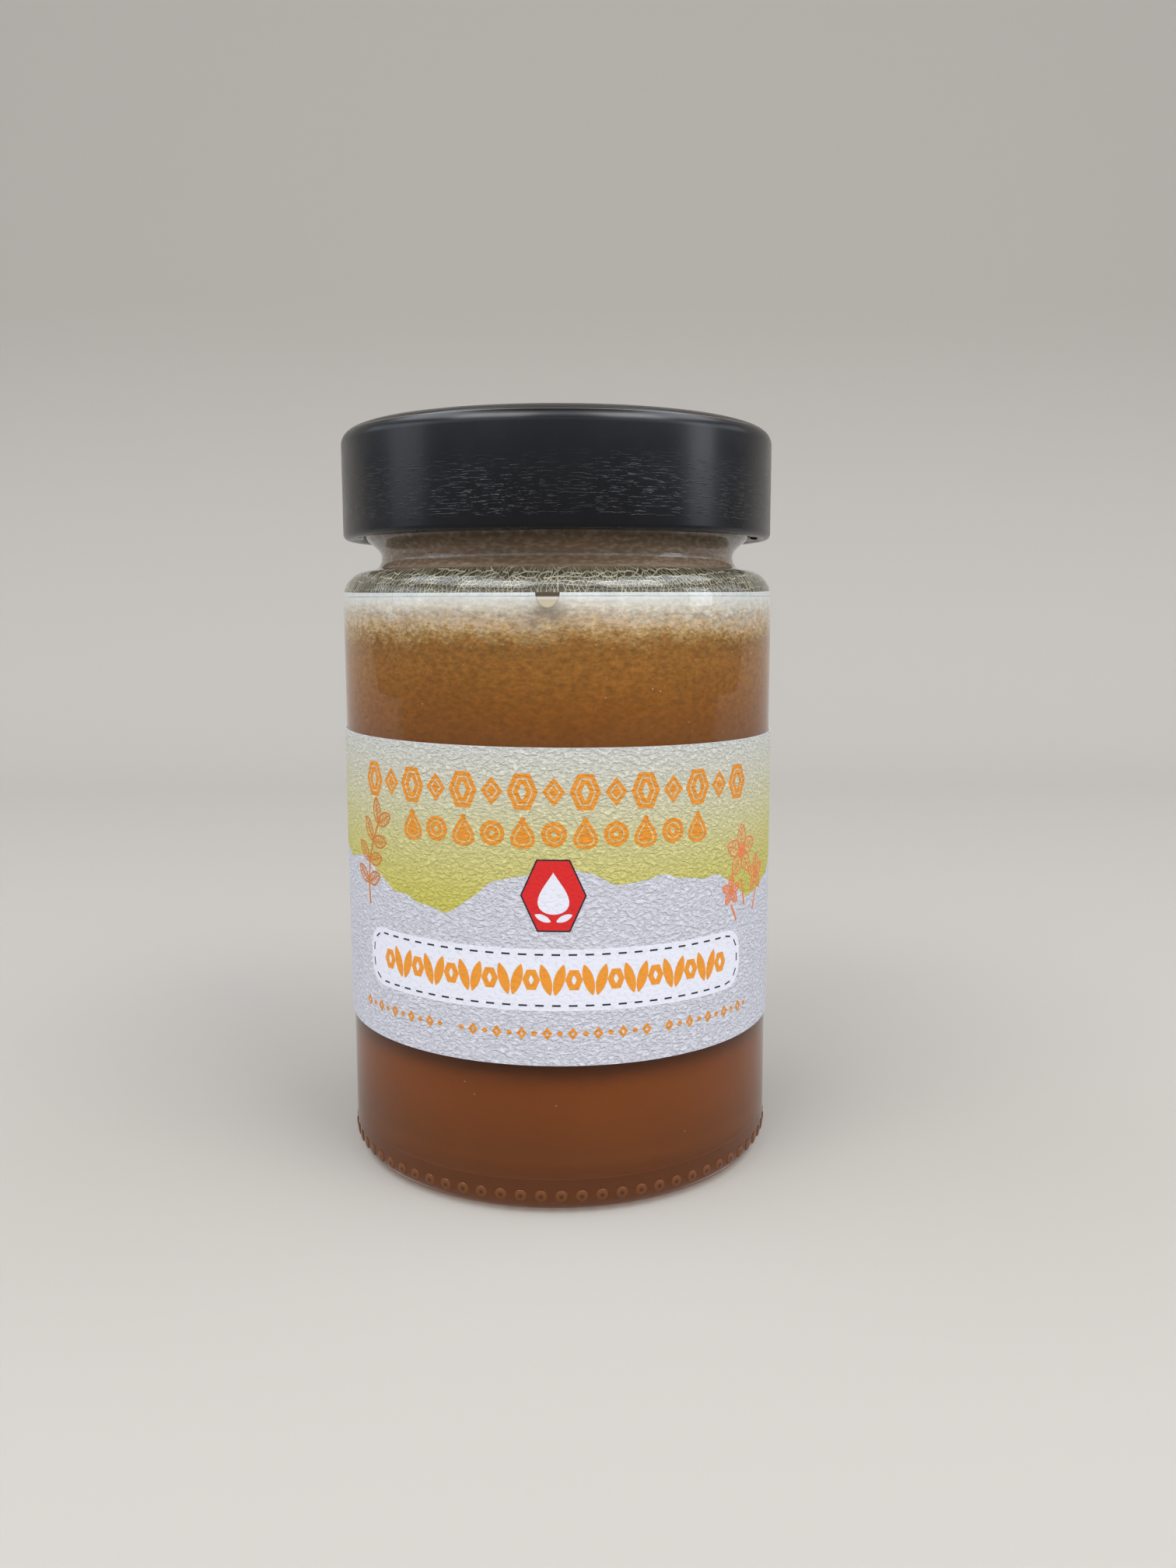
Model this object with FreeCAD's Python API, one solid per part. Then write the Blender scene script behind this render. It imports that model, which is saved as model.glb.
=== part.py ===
import FreeCAD, Part
import math
import os

# A filled and closed jar of lemon and honey confit: a straight-sided twist-off glass jar with a
# waisted neck, a deep metal lid, a wrap-around paper label, and the confit with its layer of foam.
# Millimetres, +Z up, origin at the centre of the ring that the jar stands on.

# Overall
body_radius = 35.0
glass_height = 117.3

# Glass body
wall = 2.4
shoulder_rounding = 4.3
inner_shoulder_rounding = 2.6
heel_rounding = 3.5
inner_heel_rounding = 4.5
bearing_width = 2.2             # the ring that the jar stands on
bearing_rounding = 1.0
push_up = 2.2                   # rise of the hollow under the base
push_up_run = 12.0              # how far in from the ring its slope goes
base_edge_thickness = 4.4
base_centre_thickness = 3.4

# Glass neck and mouth
mouth_radius = 31.4             # outside of the mouth, which the lid goes over
mouth_wall = 4.1
rim_rounding = 1.2
waist_inset = 2.8               # the waist between shoulder and lid, in from the mouth
waist_lean = 0.4                # how much wider the waist is at the shoulder
waist_wall = 2.5
neck_show = 5.2                 # height of neck that shows between the shoulder and the lid
neck_root_rise = 0.5
neck_root_rounding = 1.2
flare_rise = 2.5                # cone from the waist out to the mouth
flare_rounding = 2.2
flare_under_lid = 0.4           # where the cone ends, above the lid's lower edge
neck_inner_rounding = 2.0

# Half-round index tab on the shoulder's lower edge
tab_radius = 1.8
tab_stand_out = 0.3
tab_above_edge = 0.7            # its flat top, above the start of the shoulder's curve
tab_turn = -2.4                 # degrees from the front, towards -X

# Lid
lid_sheet = 0.5
lid_depth = 17.4
crown_run = 4.7                 # the crowned edge: how far in and down its curve goes
crown_drop = 2.4
crown_rounding = 2.4
panel_drop = 0.8                # the sunk panel inside the ring that sits on the rim
panel_step_run = 0.9
panel_bore_gap = 0.15
curl_width = 2.0
curl_height = 2.0
curl_rounding = 0.9

# The lid's lugs, and the thread ramps round the mouth that they slide under
lug_count = 4
lug_phase = 6.0                 # degrees from +X to the first lug
lug_span = 13.0                 # degrees
lug_height = 1.6
lug_lift = 0.3                  # lug above the lid's lower edge
lug_mouth_gap = 0.3
ramp_lug_gap = 0.1
ramp_lid_gap = 1.7
ramp_span = 56.0                # degrees
ramp_rise = 1.6
ramp_root_height = 2.2
ramp_crest_height = 1.1
ramp_stand_out = 1.1
ramp_root_depth = 0.6           # how far a ramp's root runs into the mouth's wall
ramp_sections = 6

# Paper label
label_bottom = 23.4
label_height = 46.7
label_paper = 0.25
label_glue_gap = 0.05
label_open_gap = 18.0           # bare glass between the label's two ends, at the back
label_skew = 0.6                # degrees; the label sits lower towards +X

# Contents
fill_below_shoulder = 3.8
foam_depth = 8.0
fill_gap = 0.1                  # contents to glass

# Worked-out sizes
inner_radius = body_radius - wall
waist_radius = mouth_radius - waist_inset
bore_radius = mouth_radius - mouth_wall
lid_radius = mouth_radius + ramp_stand_out + ramp_lid_gap + lid_sheet
lid_top = glass_height + lid_sheet
lid_bottom = lid_top - lid_depth
shoulder_height = lid_bottom - neck_show
mouth_bottom = lid_bottom + flare_under_lid
waist_top = mouth_bottom - flare_rise
floor_centre = push_up + base_centre_thickness
fill_height = shoulder_height - fill_below_shoulder
foam_bottom = fill_height - foam_depth
lug_angles = [lug_phase + 360 / lug_count * i for i in range(lug_count)]

axis_base = FreeCAD.Vector(0, 0, 0)
axis_up = FreeCAD.Vector(0, 0, 1)


def rounded_outline(corners):
    """Close a ring of (radius, height, rounding) corners into a wire of straight runs and tangent arcs."""
    count = len(corners)
    points = [FreeCAD.Vector(radius, 0, height) for radius, height, rounding in corners]
    aheads = [points[(i + 1) % count] - points[i] for i in range(count)]
    halves = [(points[i - 1] - points[i]).getAngle(aheads[i]) / 2 for i in range(count)]
    reaches = [corners[i][2] / math.tan(halves[i]) for i in range(count)]
    # Two roundings that meet on a short run share it.
    shares = []
    for i in range(count):
        wanted = reaches[i] + reaches[(i + 1) % count]
        shares.append(min(1.0, 0.98 * aheads[i].Length / wanted) if wanted > 0 else 1.0)
    reaches = [reaches[i] * min(shares[i - 1], shares[i]) for i in range(count)]
    starts, ends, arcs = [], [], []
    for i in range(count):
        back = (points[i - 1] - points[i]).normalize()
        ahead = (points[(i + 1) % count] - points[i]).normalize()
        starts.append(points[i] + back * reaches[i])
        ends.append(points[i] + ahead * reaches[i])
        if reaches[i] > 0:
            radius = reaches[i] * math.tan(halves[i])
            middle = points[i] + (back + ahead).normalize() * (radius / math.sin(halves[i]) - radius)
            arcs.append([Part.Arc(starts[i], middle, ends[i]).toShape()])
        else:
            arcs.append([])
    edges = []
    for i in range(count):
        edges += arcs[i]
        edges.append(Part.LineSegment(ends[i], starts[(i + 1) % count]).toShape())
    return Part.Wire(edges)


def turned(corners, first_angle=0, span=360):
    """Turn an outline in the XZ plane round the jar's axis, from first_angle, in degrees from +X."""
    solid = Part.Face(rounded_outline(corners)).revolve(axis_base, axis_up, span)
    solid.rotate(axis_base, axis_up, first_angle)
    return solid


def inside_corners(gap):
    """The inside of the glass from the floor's centre up to the neck, drawn in from the glass by gap."""
    waist_inner = waist_radius - waist_wall - gap
    under_shoulder = shoulder_height - wall - gap
    return [
        (0, floor_centre + gap, 0),
        (inner_radius - inner_heel_rounding, base_edge_thickness + gap, 0),
        (inner_radius - gap, base_edge_thickness + gap, inner_heel_rounding),
        (inner_radius - gap, under_shoulder, inner_shoulder_rounding),
        (waist_inner, under_shoulder + neck_root_rise, neck_inner_rounding),
        (waist_inner, waist_top, neck_inner_rounding),
    ]


def thread_ramp(lug_angle):
    """One sloping thread ramp, whose underside passes just above the lug at lug_angle."""
    lug_top = lid_bottom + lug_lift + lug_height
    slope = (ramp_root_height - ramp_crest_height) / 2
    root = mouth_radius - ramp_root_depth
    crest = mouth_radius + ramp_stand_out
    sections = []
    for i in range(ramp_sections):
        share = i / (ramp_sections - 1)
        underside = lug_top + ramp_lug_gap + ramp_rise * (1 - share)
        outline = [
            (root, underside),
            (mouth_radius, underside),
            (crest, underside + slope),
            (crest, underside + slope + ramp_crest_height),
            (mouth_radius, underside + ramp_root_height),
            (root, underside + ramp_root_height),
        ]
        points = [FreeCAD.Vector(radius, 0, height) for radius, height in outline]
        section = Part.makePolygon(points + points[:1])
        section.rotate(axis_base, axis_up, lug_angle + ramp_span * (share - 0.5))
        sections.append(section)
    return Part.makeLoft(sections, True, True)


def index_tab():
    """The half-round pad that stands out of the wall where the shoulder begins."""
    top = shoulder_height - shoulder_rounding + tab_above_edge
    front = body_radius + tab_stand_out
    side = 4 * tab_radius
    pad = Part.makeCylinder(tab_radius, wall, FreeCAD.Vector(0, -front, top), FreeCAD.Vector(0, 1, 0))
    upper_half = Part.makeBox(side, side, side, FreeCAD.Vector(-side / 2, -front - side / 2, top))
    # The pad's root stops inside the wall.
    pad = pad.cut(upper_half).cut(Part.makeCylinder(inner_radius + wall / 2, glass_height))
    pad.rotate(axis_base, axis_up, tab_turn)
    return pad


def make_jar_glass():
    bearing_inner = body_radius - heel_rounding - bearing_width
    corners = [
        (0, push_up, 0),
        (bearing_inner - push_up_run, push_up, 0),
        (bearing_inner, 0, bearing_rounding),
        (body_radius, 0, heel_rounding),
        (body_radius, shoulder_height, shoulder_rounding),
        (waist_radius + waist_lean, shoulder_height + neck_root_rise, neck_root_rounding),
        (waist_radius, waist_top, flare_rounding),
        (mouth_radius, mouth_bottom, flare_rounding),
        (mouth_radius, glass_height, rim_rounding),
        (bore_radius, glass_height, rim_rounding),
        (bore_radius, mouth_bottom, neck_inner_rounding),
    ]
    corners += reversed(inside_corners(0))
    ramps = [thread_ramp(angle) for angle in lug_angles]
    return turned(corners).fuse(ramps + [index_tab()]).removeSplitter()


def make_lid():
    inner = lid_radius - lid_sheet
    under = lid_top - lid_sheet
    panel_top = lid_top - panel_drop
    panel_foot = bore_radius - panel_bore_gap
    step_top = panel_foot + panel_step_run
    # The sheet leans at the step and the crown, so its two faces are offset along the radius there.
    lean = lid_sheet * 0.3
    crown_start = lid_radius - crown_run * 0.6
    crown_end = lid_top - crown_drop * 0.45
    corners = [
        (0, panel_top, 0),
        (panel_foot - lean, panel_top, lid_sheet),
        (step_top - lean, lid_top, lid_sheet),
        (crown_start, lid_top, crown_rounding * 2),
        (lid_radius, crown_end, crown_rounding),
        (lid_radius, lid_bottom, curl_rounding),
        (lid_radius - curl_width, lid_bottom, curl_rounding),
        (lid_radius - curl_width, lid_bottom + curl_height, curl_rounding),
        (inner, lid_bottom + curl_height, 0),
        (inner, crown_end - lid_sheet, crown_rounding - lid_sheet),
        (crown_start - lean, under, crown_rounding),
        (step_top, under, 0),
        (panel_foot, panel_top - lid_sheet, 0),
        (0, panel_top - lid_sheet, 0),
    ]
    lug_inner = mouth_radius + lug_mouth_gap
    lug_outer = lid_radius - curl_width / 2
    lug_bottom = lid_bottom + lug_lift
    lug_corners = [
        (lug_inner, lug_bottom, lug_height * 0.3),
        (lug_outer, lug_bottom, 0),
        (lug_outer, lug_bottom + lug_height, 0),
        (lug_inner, lug_bottom + lug_height, lug_height * 0.3),
    ]
    lugs = [turned(lug_corners, angle - lug_span / 2, lug_span) for angle in lug_angles]
    return turned(corners).fuse(lugs).removeSplitter()


def make_label():
    inner = body_radius + label_glue_gap
    outer = inner + label_paper
    open_angle = math.degrees(label_open_gap / outer)
    spare = 2 * outer * math.tan(math.radians(label_skew))
    low = label_bottom - spare
    high = label_bottom + label_height + spare
    band = [(inner, low, 0), (outer, low, 0), (outer, high, 0), (inner, high, 0)]
    wrap = turned(band, 90 + open_angle / 2, 360 - open_angle)
    # The paper is cut square and wrapped a little askew.
    side = 4 * outer
    trim = Part.makeBox(side, side, label_height, FreeCAD.Vector(-side / 2, -side / 2, label_bottom))
    middle = FreeCAD.Vector(0, 0, label_bottom + label_height / 2)
    trim.rotate(middle, FreeCAD.Vector(0, 1, 0), label_skew)
    return wrap.common(trim)


def filling(bottom, top):
    """What fills the glass between two levels."""
    inside = turned(inside_corners(fill_gap) + [(0, waist_top, 0)])
    level = Part.makeCylinder(body_radius, top - bottom, FreeCAD.Vector(0, 0, bottom))
    return inside.common(level)


def make_confit():
    return filling(0, foam_bottom)


def make_foam():
    return filling(foam_bottom, fill_height)


nodes = {
    "jar_glass": make_jar_glass,
    "lid": make_lid,
    "label": make_label,
    "confit": make_confit,
    "foam": make_foam,
}

os.makedirs("parts", exist_ok=True)
for name, make in nodes.items():
    shape = make()
    volume = round(shape.Volume / 1000, 2)
    print(name, "solids", len(shape.Solids), "valid", shape.isValid(), "cm3", volume)
    shape.Solids[0].exportStep("parts/" + name + ".step")
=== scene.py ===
import math
import random

import bmesh
import bpy
from mathutils import Matrix, Vector, noise


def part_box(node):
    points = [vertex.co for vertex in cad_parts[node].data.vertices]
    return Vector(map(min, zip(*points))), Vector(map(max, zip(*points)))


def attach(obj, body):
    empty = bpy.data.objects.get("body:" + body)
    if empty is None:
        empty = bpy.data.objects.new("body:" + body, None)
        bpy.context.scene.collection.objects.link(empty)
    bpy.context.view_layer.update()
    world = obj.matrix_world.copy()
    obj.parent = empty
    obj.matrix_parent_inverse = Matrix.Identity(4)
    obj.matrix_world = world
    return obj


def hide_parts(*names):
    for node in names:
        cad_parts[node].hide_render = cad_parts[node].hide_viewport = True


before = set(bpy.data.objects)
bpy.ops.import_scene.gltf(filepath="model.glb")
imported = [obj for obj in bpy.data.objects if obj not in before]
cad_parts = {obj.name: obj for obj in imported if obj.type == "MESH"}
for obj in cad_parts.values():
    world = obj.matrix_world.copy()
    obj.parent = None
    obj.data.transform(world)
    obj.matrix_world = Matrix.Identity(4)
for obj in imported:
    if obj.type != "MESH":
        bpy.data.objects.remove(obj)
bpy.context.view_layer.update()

# A twist-off jar of lemon and honey confit. Sizes in the dictionaries are millimetres,
# heights are above the table, and angles are degrees round the jar from its front.

mm = 0.001
glassBox, lidBox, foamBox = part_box("jar_glass"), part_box("lid"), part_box("foam")


def tone(red, green, blue):
    # a colour as it looks, 0 to 255, turned to linear light
    def linear(value):
        value /= 255
        return value / 12.92 if value <= 0.04045 else ((value + 0.055) / 1.055) ** 2.4
    return (linear(red), linear(green), linear(blue), 1.0)


def roundedOutline(corners, closed=False, turnStep=11):
    # (radius, height, rounding) corners become points in the XZ plane, with arcs for the roundings
    count = len(corners)
    points = [Vector((r, 0, z)) for r, z, rounding in corners]
    before = [points[i - 1] - points[i] for i in range(count)]
    after = [points[(i + 1) % count] - points[i] for i in range(count)]
    halves = [before[i].angle(after[i]) / 2 for i in range(count)]
    reaches = [corners[i][2] / math.tan(halves[i]) for i in range(count)]
    shares = []
    for i in range(count):  # two roundings that meet on a short run share it
        wanted = reaches[i] + reaches[(i + 1) % count]
        shares.append(min(1.0, 0.98 * after[i].length / wanted) if wanted > 0 else 1.0)
    outline = []
    for i in range(count):
        reach = reaches[i] * min(shares[i - 1], shares[i])
        ends = not closed and i in (0, count - 1)
        if reach <= 0 or ends:
            outline.append(points[i] * mm)
            continue
        back, ahead = before[i].normalized(), after[i].normalized()
        radius = reach * math.tan(halves[i])
        centre = points[i] + (back + ahead).normalized() * radius / math.sin(halves[i])
        turn = math.pi - 2 * halves[i]
        steps = max(2, math.ceil(math.degrees(turn) / turnStep))
        start = points[i] + back * reach - centre
        end = points[i] + ahead * reach - centre
        for step in range(steps + 1):
            share = step / steps
            arm = start * math.sin((1 - share) * turn) + end * math.sin(share * turn)
            outline.append((centre + arm / math.sin(turn)) * mm)
    return outline


def spun(points, segments, closed=False, degrees=360, start=0, rise=0):
    # turn a line of points round the jar's axis
    bm = bmesh.new()
    verts = [bm.verts.new(point) for point in points]
    edges = [bm.edges.new(pair) for pair in zip(verts, verts[1:])]
    if closed:
        edges.append(bm.edges.new((verts[-1], verts[0])))
    full = degrees == 360
    bmesh.ops.spin(
        bm, geom=verts + edges, cent=(0, 0, 0), axis=(0, 0, 1), dvec=(0, 0, rise / segments),
        angle=math.radians(degrees), steps=segments, use_merge=full, use_duplicate=False)
    bmesh.ops.remove_doubles(bm, verts=bm.verts, dist=1e-7)
    if not full:
        bmesh.ops.holes_fill(bm, edges=[edge for edge in bm.edges if edge.is_boundary], sides=0)
    turned(bm, bm.verts, start)
    bmesh.ops.recalc_face_normals(bm, faces=bm.faces)
    return bm


def turned(bm, verts, degrees, axis="Z"):
    turn = Matrix.Rotation(math.radians(degrees), 3, axis)
    bmesh.ops.rotate(bm, verts=verts, cent=(0, 0, 0), matrix=turn)


def cutLevel(bm, height, side):
    # drop what lies above a height, or under it where side is -1, and close the cut
    cut = bmesh.ops.bisect_plane(
        bm, geom=bm.verts[:] + bm.edges[:] + bm.faces[:], plane_co=(0, 0, height),
        plane_no=(0, 0, side), clear_outer=True)
    rim = [e for e in cut["geom_cut"] if isinstance(e, bmesh.types.BMEdge)]
    return bmesh.ops.contextual_create(bm, geom=rim)["faces"]


def meshObject(bm, name):
    mesh = bpy.data.meshes.new(name)
    bm.to_mesh(mesh)
    bm.free()
    made = bpy.data.objects.new(name, mesh)
    bpy.context.scene.collection.objects.link(made)
    return made


def addPiece(bm, name, material, replaced=(), sharpAngle=40):
    piece = meshObject(bm, name)
    piece.data.shade_smooth()
    piece.data.set_sharp_from_angle(angle=math.radians(sharpAngle))
    piece.data.materials.append(material)
    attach(piece, "root")
    if replaced:
        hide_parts(*replaced)
    print(name, len(piece.data.polygons), "faces")
    return piece


def addNode(tree, kind, sockets=(), **settings):
    made = tree.nodes.new("ShaderNode" + kind)
    for key, value in settings.items():
        setattr(made, key, value)
    for key, value in dict(sockets).items():
        if isinstance(value, bpy.types.NodeSocket):
            tree.links.new(value, made.inputs[key])
        else:
            made.inputs[key].default_value = value
    return made


def newMaterial(name, sockets=()):
    # a material with one Principled shader, its node tree and that shader
    material = bpy.data.materials.new(name)
    material.use_nodes = True
    tree = material.node_tree
    shader = tree.nodes["Principled BSDF"]
    for key, value in dict(sockets).items():
        shader.inputs[key].default_value = value
    return material, tree, shader


def maths(tree, operation, *values):
    return addNode(tree, "Math", dict(enumerate(values)), operation=operation).outputs[0]


def times(tree, first, second):
    return maths(tree, "MULTIPLY", first, second)


def lengthOf(tree, x, y):
    flat = addNode(tree, "CombineXYZ", {0: x, 1: y})
    return addNode(tree, "VectorMath", {0: flat.outputs[0]}, operation="LENGTH").outputs["Value"]


def ranged(tree, value, low, high, atLow=0.0, atHigh=1.0):
    return addNode(tree, "MapRange", {0: value, 1: low, 2: high, 3: atLow, 4: atHigh}).outputs[0]


def rangedMm(tree, value, ends, atLow=0.0, atHigh=1.0):
    return ranged(tree, value, *(end * mm for end in ends), atLow, atHigh)


def noiseOn(tree, place, scale, detail, roughness=0.5, distortion=0.0):
    return addNode(tree, "TexNoise", {
        "Vector": place, "Scale": scale, "Detail": detail, "Roughness": roughness,
        "Distortion": distortion}).outputs["Fac"]


def objectPlace(tree):
    # the place on a piece, and the same as x, y and z
    place = addNode(tree, "TexCoord").outputs["Object"]
    return place, addNode(tree, "SeparateXYZ", {0: place}).outputs


def colourRamp(tree, factor, stops):
    ramp = addNode(tree, "ValToRGB", {"Fac": factor})
    elements = ramp.color_ramp.elements
    while len(elements) < len(stops):
        elements.new(1.0)
    for element, (place, colour) in zip(elements, stops):
        element.position = place
        element.color = tone(*colour)
    return ramp.outputs["Color"]


def mixColours(tree, factor, first, second, blend="MIX"):
    return addNode(
        tree, "Mix", {0: factor, 6: first, 7: second}, data_type="RGBA", blend_type=blend).outputs[2]


def scaledShade(tree, colour, factor):
    # a colour made lighter or darker by a number from nodes
    grey = addNode(tree, "CombineColor", {0: factor, 1: factor, 2: factor})
    return mixColours(tree, 1.0, colour, grey.outputs[0], "MULTIPLY")


def paint(tree, shader, colour):
    tree.links.new(colour, shader.inputs["Base Color"])


def bumped(tree, shader, height, distance, strength=1.0):
    bump = addNode(tree, "Bump", {"Height": height, "Distance": distance * mm, "Strength": strength})
    tree.links.new(bump.outputs["Normal"], shader.inputs["Normal"])


camera = {
    "lens": 29.16, "sensor": 36,
    "away": 213.15, "height": 89.9,
    "down": 7.98, "aside": -1.32, "roll": -0.15,
}
stageSizes = {
    "halfWidth": 1500, "front": -900, "sweepStart": 420, "sweepRadius": 300, "top": 1500,
    # a painted dark amber shade on the floor under the jar
    # a painted darker floor colour that only reflections see
    "colour": (172, 166, 158), "paintedReflection": (108, 103, 98), "paintedUnderShade": (92, 54, 28),
    "underShadeEnds": (-3.5, -0.5), "aheadFrom": (-100, 50), "roughness": 0.75, "specular": 0.2,
}
lamps = {  # place, width and height in mm, watts, colour
    "leftWindow": ((-468, -599, 820), (640, 460), 3.9, (1.0, 0.98, 0.95)),
    "rightWindow": ((537, -537, 820), (560, 460), 3.7, (1.0, 0.98, 0.95)),
    "leftLamp": ((-870, -130, 310), (360, 400), 0.45, (0.80, 0.89, 1.0)),
    "rightLamp": ((870, -190, 310), (250, 400), 0.75, (0.86, 0.92, 1.0)),
}
worldLight = {  # a soft room, with sky over the horizon towards the front and the sides
    "room": 0.24, "wall": (178, 174, 169),
    "sky": 3.4, "skyBand": (0.63, 0.90, 0.04), "lowSky": 1.2, "lowBand": (0.22, 0.44, 0.03),
    "ahead": 0.68, "aheadEnds": (-0.97, -0.88),
    "roomColour": (0.95, 0.95, 1.0, 1.0), "skyColour": (0.84, 0.91, 1.0, 1.0),
}


def addCamera():
    data = bpy.data.cameras.new("viewCamera")
    data.sensor_fit = "AUTO"
    data.sensor_width = camera["sensor"]
    data.lens = camera["lens"]
    data.clip_start, data.clip_end = 0.01, 20
    view = bpy.data.objects.new("viewCamera", data)
    bpy.context.scene.collection.objects.link(view)
    turn = Matrix.Rotation(math.radians(camera["aside"]), 4, "Z")
    tilt = Matrix.Rotation(math.radians(90 - camera["down"]), 4, "X")
    roll = Matrix.Rotation(math.radians(camera["roll"]), 4, "Z")
    place = Matrix.Translation(Vector((0, -camera["away"], camera["height"])) * mm)
    view.matrix_world = place @ turn @ tilt @ roll
    bpy.context.scene.camera = view


def addStage():
    s = stageSizes
    bm = bmesh.new()
    start, radius = s["sweepStart"], s["sweepRadius"]
    line = [(s["front"], 0), (start, 0)]  # depth and height, from the front edge up the backdrop
    for step in range(1, 17):
        turn = math.radians(90 * step / 16)
        line.append((start + radius * math.sin(turn), radius * (1 - math.cos(turn))))
    line.append((start + radius, s["top"]))
    verts = [bm.verts.new(Vector((-s["halfWidth"], *point)) * mm) for point in line]
    edges = [bm.edges.new(pair) for pair in zip(verts, verts[1:])]
    made = bmesh.ops.extrude_edge_only(bm, edges=edges)["geom"]
    across = Vector((2 * s["halfWidth"] * mm, 0, 0))
    bmesh.ops.translate(bm, verts=[v for v in made if isinstance(v, bmesh.types.BMVert)], vec=across)
    bmesh.ops.recalc_face_normals(bm, faces=bm.faces)
    floor = meshObject(bm, "floorSweep")
    floor.data.shade_smooth()
    material, tree, shader = newMaterial("paleFloor", {
        "Roughness": s["roughness"], "Specular IOR Level": s["specular"]})
    place, parts = objectPlace(tree)
    radius = addNode(tree, "VectorMath", {0: place}, operation="LENGTH").outputs["Value"]
    # painted shade under the jar: the floor there is painted dark amber, standing in for the jar's shadow
    # and for light that comes through the confit
    under = ranged(tree, radius, *(lidBox[1].x + end * mm for end in s["underShadeEnds"]), 1.0, 0.0)
    pale = mixColours(tree, under, tone(*s["colour"]), tone(*s["paintedUnderShade"]))
    # painted reflection: rays that reflect see the floor in front in a darker colour, so it looks darker in
    # the lid and the glass
    ahead = rangedMm(tree, parts[1], s["aheadFrom"], 1.0, 0.0)
    dimmed = times(tree, addNode(tree, "LightPath").outputs["Is Glossy Ray"], ahead)
    paint(tree, shader, mixColours(tree, dimmed, pale, tone(*s["paintedReflection"])))
    floor.data.materials.append(material)


def addLight():
    for name, (place, size, watts, colour) in lamps.items():
        data = bpy.data.lights.new(name, "AREA")
        data.shape = "RECTANGLE"
        data.size, data.size_y = size[0] * mm, size[1] * mm
        data.energy = watts
        data.color = colour
        lamp = bpy.data.objects.new(name, data)
        lamp.location = Vector(place) * mm
        aim = Vector((0, 0, 60 * mm)) - lamp.location
        lamp.rotation_mode = "QUATERNION"
        lamp.rotation_quaternion = aim.to_track_quat("-Z", "Y")
        bpy.context.scene.collection.objects.link(lamp)
    world = bpy.data.worlds.new("softRoom")
    world.use_nodes = True
    tree = world.node_tree
    x, y, z = addNode(tree, "SeparateXYZ", {0: addNode(tree, "TexCoord").outputs["Generated"]}).outputs
    w = worldLight

    def stretch(low, high, soft):
        opening = ranged(tree, z, low - soft, low + soft)
        return times(tree, opening, ranged(tree, z, high - soft, high + soft, 1.0, 0.0))

    high = times(tree, stretch(*w["skyBand"]), w["sky"])
    band = maths(tree, "MULTIPLY_ADD", stretch(*w["lowBand"]), w["lowSky"], high)
    facing = ranged(tree, maths(tree, "DIVIDE", y, lengthOf(tree, x, y)), *w["aheadEnds"], w["ahead"], 1.0)
    sky = times(tree, band, facing)
    share = maths(tree, "MINIMUM", sky, 1.0)
    rays = addNode(tree, "LightPath")  # the camera sees a plain pale wall past the backdrop
    colour = mixColours(tree, share, w["roomColour"], w["skyColour"])
    light = addNode(tree, "Background", {"Color": colour, "Strength": maths(tree, "ADD", sky, w["room"])})
    plain = tree.nodes["Background"]
    plain.inputs["Color"].default_value = tone(*w["wall"])
    mix = addNode(tree, "MixShader", {
        0: rays.outputs["Is Camera Ray"], 1: light.outputs[0], 2: plain.outputs[0]})
    tree.links.new(mix.outputs[0], tree.nodes["World Output"].inputs["Surface"])
    bpy.context.scene.world = world


bpy.context.scene.view_settings.view_transform = "Standard"
addCamera()
addStage()
addLight()
print("camera, floor and light set")


glass = {
    "wall": 2.4, "fillGap": 0.1,
    "shoulderRounding": 4.3, "innerShoulder": 2.6,
    "heelRounding": 3.5, "innerHeel": 4.5,
    "bearingWidth": 2.2, "bearingRounding": 1.0, "pushUp": 2.2, "pushUpRun": 12.0,
    "baseEdge": 4.4, "baseCentre": 3.4,
    "mouthRadius": 31.4, "mouthWall": 4.1, "rimRounding": 1.2,
    "waistInset": 2.8, "waistLean": 0.4, "waistWall": 2.5, "neckShow": 5.2, "neckRise": 0.5,
    "neckFoot": 2.4,
    "flareRise": 2.5, "flareRounding": 2.2, "flareUnderLid": 0.4, "neckInner": 2.0,
    "segments": 480,
    "studs": 72, "studHeight": 3.1, "studSize": (0.95, 0.19, 0.95),
    "tabRadius": 1.7, "tabDrop": 1.3, "tabStandOut": 0.3, "tabAboveEdge": 0.9, "tabTurn": -2.4,
    "tabSoft": 0.22,
    "lugPhase": 6.0, "rampSpan": 56.0, "rampRise": 1.6, "rampHeight": 2.2, "rampOut": 1.1,
    "rampRoot": 0.6, "rampCrest": (0.55, 1.65), "rampGap": 0.1,
    # painted dark middle and light ring of each stud
    "studPaintedShades": [(0.12, (68, 37, 17)), (0.55, (112, 65, 31)), (0.95, (98, 55, 27))],  # from its middle
    # painted shades of the glass tab, with a painted dark line at its top
    "tabPaintedShades": [  # from its lowest point up
        (0.0, (196, 187, 158)), (0.25, (190, 180, 154)), (0.54, (186, 176, 152)),
        (0.58, (206, 195, 186)), (0.71, (206, 196, 188)), (0.75, (84, 75, 57))],
    "colour": (244, 247, 243), "roughness": 0.015, "ior": 1.5, "waves": 55.0, "waveDepth": 0.05,
}
lid = {
    "sheet": 0.5, "crownRun": 4.7, "crownDrop": 2.4, "crownRounding": 2.4,
    "panelDrop": 0.8, "panelStep": 0.9, "panelBoreGap": 0.15,
    "curlWidth": 2.0, "curlHeight": 2.0, "curlRounding": 0.9,
    "lugCount": 4, "lugSpan": 13.0, "lugHeight": 1.6, "lugLift": 0.3, "lugMouthGap": 0.3,
    "segments": 360,
}
bodyRadius = foamBox[1].x / mm + glass["fillGap"] + glass["wall"]
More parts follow.
